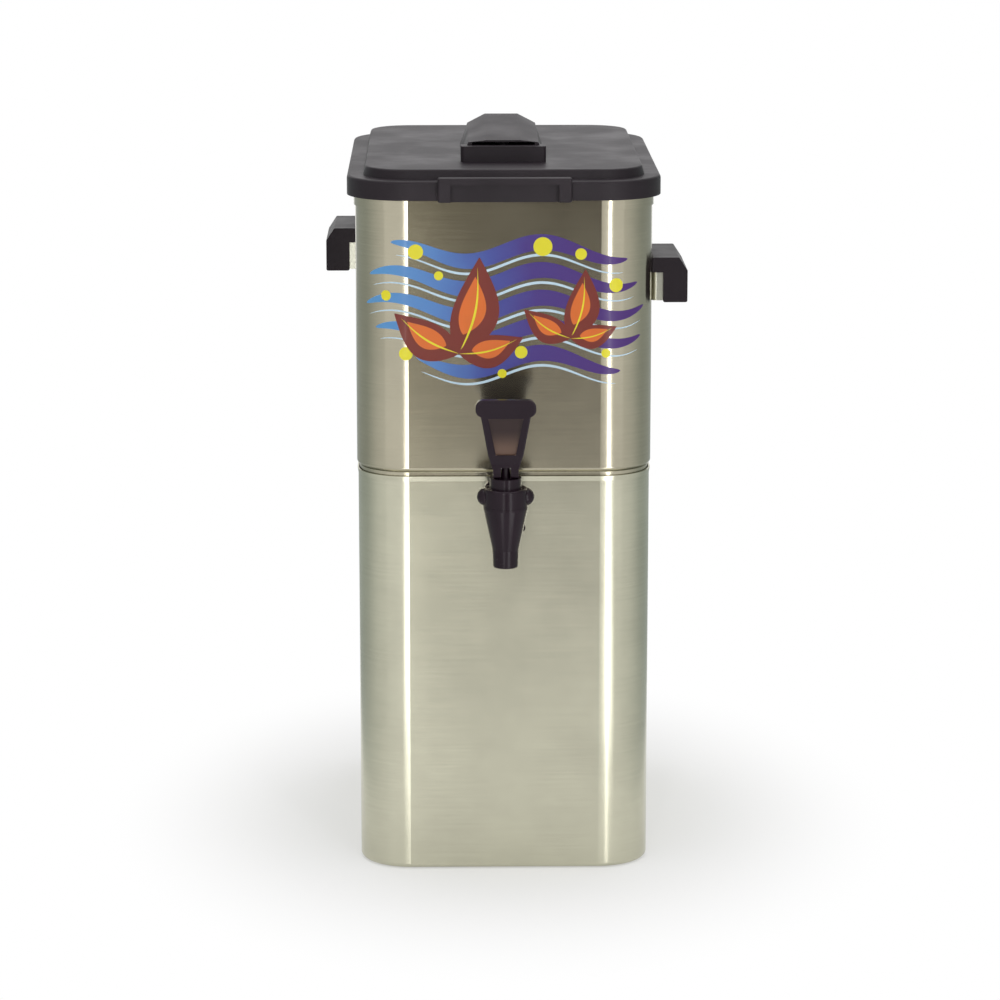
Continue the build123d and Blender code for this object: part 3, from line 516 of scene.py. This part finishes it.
# Each leaf's heading, length and half width, and then each sprig's place and scale
sprig = [(-58, 0.060, 0.0150), (12, 0.078, 0.0180), (76, 0.052, 0.0130)]
sprigs = [(-0.036, 0.424, 1.0), (0.052, 0.436, 0.72)]
russet_films = []
orange_films = []
vein_films = []
for stalk_x, stalk_z, scale in sprigs:
    for number, (heading, length, half) in enumerate(sprig):
        length, half = length * scale, half * scale
        glow_x = stalk_x + sin(radians(heading)) * length * GLOW_START
        glow_z = stalk_z + cos(radians(heading)) * length * GLOW_START
        whole = leaf(stalk_x, stalk_z, heading, length, half)
        heart = leaf(glow_x, glow_z, heading, length * GLOW_LENGTH, half * GLOW_WIDTH)
        vein = leaf(stalk_x, stalk_z, heading, length * VEIN_LENGTH, half * VEIN_WIDTH)
        layer = FIRST_LEAF_LAYER + 3 * number
        russet_films.append(vinyl("leaf", 30, whole, layer, russet_ink, wide=8))
        orange_films.append(vinyl("glow", 24, heart, layer + 1, orange_ink, wide=6))
        vein_films.append(vinyl("vein", 20, vein, layer + 2, yellow_ink))
joined("print_leaves", russet_films)
joined("print_leaf_glow", orange_films)

# %% The dots


def dot(x, z, radius):
    """A round dot: the grid's length runs round it, and its width from the centre to the rim."""
    def place(along, across):
        turn, out = along * 2 * pi, radius * (across + 1) / 2
        return x + cos(turn) * out, z + sin(turn) * out
    return place


# Each dot's place and radius
dots = [(0.030, 0.509, 0.0075), (0.060, 0.503, 0.0046), (0.013, 0.425, 0.0050),
        (0.088, 0.478, 0.0056), (-0.002, 0.408, 0.0036), (-0.070, 0.505, 0.0060),
        (-0.052, 0.486, 0.0036), (-0.094, 0.470, 0.0042), (-0.078, 0.424, 0.0054),
        (0.080, 0.424, 0.0036)]
dot_films = [vinyl("dot", 28, dot(*entry), 2, yellow_ink, wide=3) for entry in dots]
joined("print_dots", dot_films + vein_films)

# %% [markdown]
# ## The floor
# The picture is a cut-out on white. Near the dispenser the floor is mostly real, so that it takes
# the shadow. Further out it glows a plain white that only the camera, mirrors and glass see, and
# that adds no light to matt surfaces.

# %% The floor
FLOOR_SIZE = 24.0
FLOOR_DROP = 0.0006
NEAR_SHARE = 0.35
NEAR_REACH, FAR_REACH = 0.17, 0.46
SIDEWAYS = 1.35

bpy.ops.object.select_all(action="DESELECT")
bpy.ops.mesh.primitive_plane_add(size=FLOOR_SIZE, location=(0, 0, -FLOOR_DROP))
floor = bpy.context.object
floor.name = "studio_floor"
paper = Finish("floor_paper", Roughness=0.9, Specular_IOR_Level=0.2)
paper.give("Base Color", paper.blend(paper.noise(3.0) * 0.2, (0.92, 0.92, 0.92), (0.89, 0.89, 0.89)))
reach = ((paper.axis("X") * SIDEWAYS) ** 2.0 + paper.axis("Y") ** 2.0) ** 0.5
seen = paper.ray("Is Camera Ray") + paper.ray("Is Glossy Ray") + paper.ray("Is Transmission Ray")
share = reach.between(NEAR_REACH, FAR_REACH) * (1.0 - NEAR_SHARE) + NEAR_SHARE
paper.shine_through(share * seen.above(0.5), (1.0, 1.0, 1.0))
floor.data.materials.append(paper.material)
print("floor laid", FLOOR_DROP * 1000, "mm below the foot")

# %% [markdown]
# ## Cards for the steel to reflect
# In a photograph of steel most of what shows is what it reflects, so a studio stands plain cards
# round it, out of the picture. Two mats and a card in front give the upper front its darker tone,
# paler to the left. A card and a mat at each side tone the side walls, and a glowing strip on the
# floor at each side draws a corner's bright line. Each card glows by itself, and only reflections
# see it, so it doesn't show and lights nothing matt.

# %% Cards that only the steel sees


def card(name, place, size, turn, shades):
    """A plain card that only mirrors see; its shades are an axis, two places on it and two colours."""
    bpy.ops.object.select_all(action="DESELECT")
    bpy.ops.mesh.primitive_plane_add(size=1.0, location=place, rotation=turn)
    made = bpy.context.object
    made.name = name
    made.scale = (*size, 1.0)
    bpy.ops.object.transform_apply(location=True, rotation=True, scale=True)
    face = Finish(name + "_face")
    axis, start, stop, first, last = shades
    share = face.axis(axis).between(start, stop)
    glow = face.node("ShaderNodeEmission", {}, {"Color": face.blend(share, first, last)})
    face.tree.links.new(glow.socket, face.tree.nodes["Material Output"].inputs["Surface"])
    made.data.materials.append(face.material)
    made.visible_camera = False
    made.visible_diffuse = False
    made.visible_shadow = False


FLAT = (0, 0, 0)
UPRIGHT_FRONT = (radians(90), 0, 0)
UPRIGHT_SIDE = (radians(90), 0, radians(90))
MAT_LEVEL, STRIP_LEVEL = 0.004, 0.006
card("mat_near", (0, -2.30, MAT_LEVEL), (0.9, 1.2), FLAT,
     ("X", -0.24, 0.06, (0.50, 0.46, 0.31), (0.16, 0.125, 0.085)))
card("mat_far", (0, -3.85, MAT_LEVEL), (0.9, 1.9), FLAT,
     ("X", -0.26, 0.06, (0.30, 0.27, 0.19), (0.03, 0.02, 0.012)))
card("card_in_front", (0, -4.80, 1.6), (0.9, 3.2), UPRIGHT_FRONT,
     ("X", -0.26, 0.06, (0.22, 0.20, 0.14), (0.02, 0.015, 0.012)))
PALE, SAGE = (0.82, 0.83, 0.82), (0.43, 0.47, 0.46)
for hand, side in (("left", -1), ("right", 1)):
    card("card_" + hand, (side * 1.6, 1.2, 1.4), (5.0, 2.8), UPRIGHT_SIDE,
         ("Y", -1.3, 0.4, PALE, SAGE))
    card("mat_" + hand, (side * 0.95, 0.9, MAT_LEVEL), (1.3, 3.8), FLAT,
         ("Y", -0.5, 0.4, PALE, SAGE))
STRIP_GLOW = (4.5, 4.5, 4.5)
EVEN = ("Y", 0, 1, STRIP_GLOW, STRIP_GLOW)
card("strip_left", (-0.31, -2.0, STRIP_LEVEL), (0.11, 2.8), (0, 0, radians(-6.4)), EVEN)
card("strip_right", (0.80, -1.98, STRIP_LEVEL), (0.22, 3.05), (0, 0, radians(20.9)), EVEN)
print("cards stand round the dispenser")

# %% [markdown]
# ## Lamps and the world
# One large lamp overhead gives the plain soft light of a photo studio, and two tall narrow ones in
# front strengthen the corners' bright lines. The world fills in from all sides at a plain level, and
# is a full white only to the camera, mirrors and glass.

# %% The lamps


def soft_box(name, place, aim, width, height, radiance):
    """A rectangular lamp that faces a point; its power follows from how bright its face is."""
    data = bpy.data.lights.new(name, "AREA")
    data.shape = "RECTANGLE"
    data.size, data.size_y = width, height
    data.energy = radiance * pi * width * height
    lamp = bpy.data.objects.new(name, data)
    bpy.context.scene.collection.objects.link(lamp)
    lamp.location = place
    lamp.rotation_euler = (Vector(aim) - Vector(place)).to_track_quat("-Z", "Y").to_euler()
    print(name, round(data.energy, 1), "W")


BOX_HEIGHT = 2.3
BOX_RADIANCE = 9.0
soft_box("overhead", (0, 0.4, 3.4), (0, 0.2, 0), 4.6, 4.2, 1.15)
soft_box("left_box", (-0.47, -3.6, 1.16), (-0.08, -0.17, 1.10), 0.25, BOX_HEIGHT, BOX_RADIANCE)
soft_box("right_box", (1.36, -3.5, 1.16), (0.08, -0.17, 1.10), 0.34, BOX_HEIGHT, BOX_RADIANCE)

# %% The world
LIGHT_LEVEL = 0.42
world = bpy.data.worlds.new("studio")
bpy.context.scene.world = world
world.use_nodes = True
sky_tree = world.node_tree
backdrop = sky_tree.nodes["Background"]
backdrop.inputs["Color"].default_value = (1.0, 1.0, 1.0, 1.0)
paths = sky_tree.nodes.new("ShaderNodeLightPath")
total = paths.outputs["Is Camera Ray"]
for kind in ("Is Glossy Ray", "Is Transmission Ray"):
    adder = sky_tree.nodes.new("ShaderNodeMath")
    adder.operation = "ADD"
    adder.use_clamp = True
    sky_tree.links.new(total, adder.inputs[0])
    sky_tree.links.new(paths.outputs[kind], adder.inputs[1])
    total = adder.outputs[0]
level = sky_tree.nodes.new("ShaderNodeMapRange")
level.inputs["To Min"].default_value = LIGHT_LEVEL
level.inputs["To Max"].default_value = 1.0
sky_tree.links.new(total, level.inputs["Value"])
sky_tree.links.new(level.outputs[0], backdrop.inputs["Strength"])
print("world lights at", LIGHT_LEVEL)

# %% [markdown]
# ## The camera
# It stands three metres off, a third of a metre above the lid and a hair to the left, and looks
# down a little through a long lens. Two small shifts slide the picture in its frame.

# %% The camera
CAMERA_DISTANCE = 3.100
CAMERA_PITCH = radians(11.825)
CAMERA_YAW = radians(-0.936)
AIM = Vector((0, 0, 0.280))
away = Vector((sin(CAMERA_YAW) * cos(CAMERA_PITCH),
               -cos(CAMERA_YAW) * cos(CAMERA_PITCH),
               sin(CAMERA_PITCH)))
camera_data = bpy.data.cameras.new("camera")
camera = bpy.data.objects.new("camera", camera_data)
bpy.context.scene.collection.objects.link(camera)
camera.location = AIM + away * CAMERA_DISTANCE
camera.rotation_euler = (-away).to_track_quat("-Z", "Y").to_euler()
camera_data.sensor_width = 36.0
camera_data.lens = 132.46
camera_data.shift_x = -0.00116
camera_data.shift_y = -0.01204
camera_data.clip_end = 100.0
bpy.context.scene.camera = camera
bpy.context.scene.view_settings.view_transform = "Standard"
print("camera at", [round(c, 3) for c in camera.location], "with a lens of", camera_data.lens, "mm")
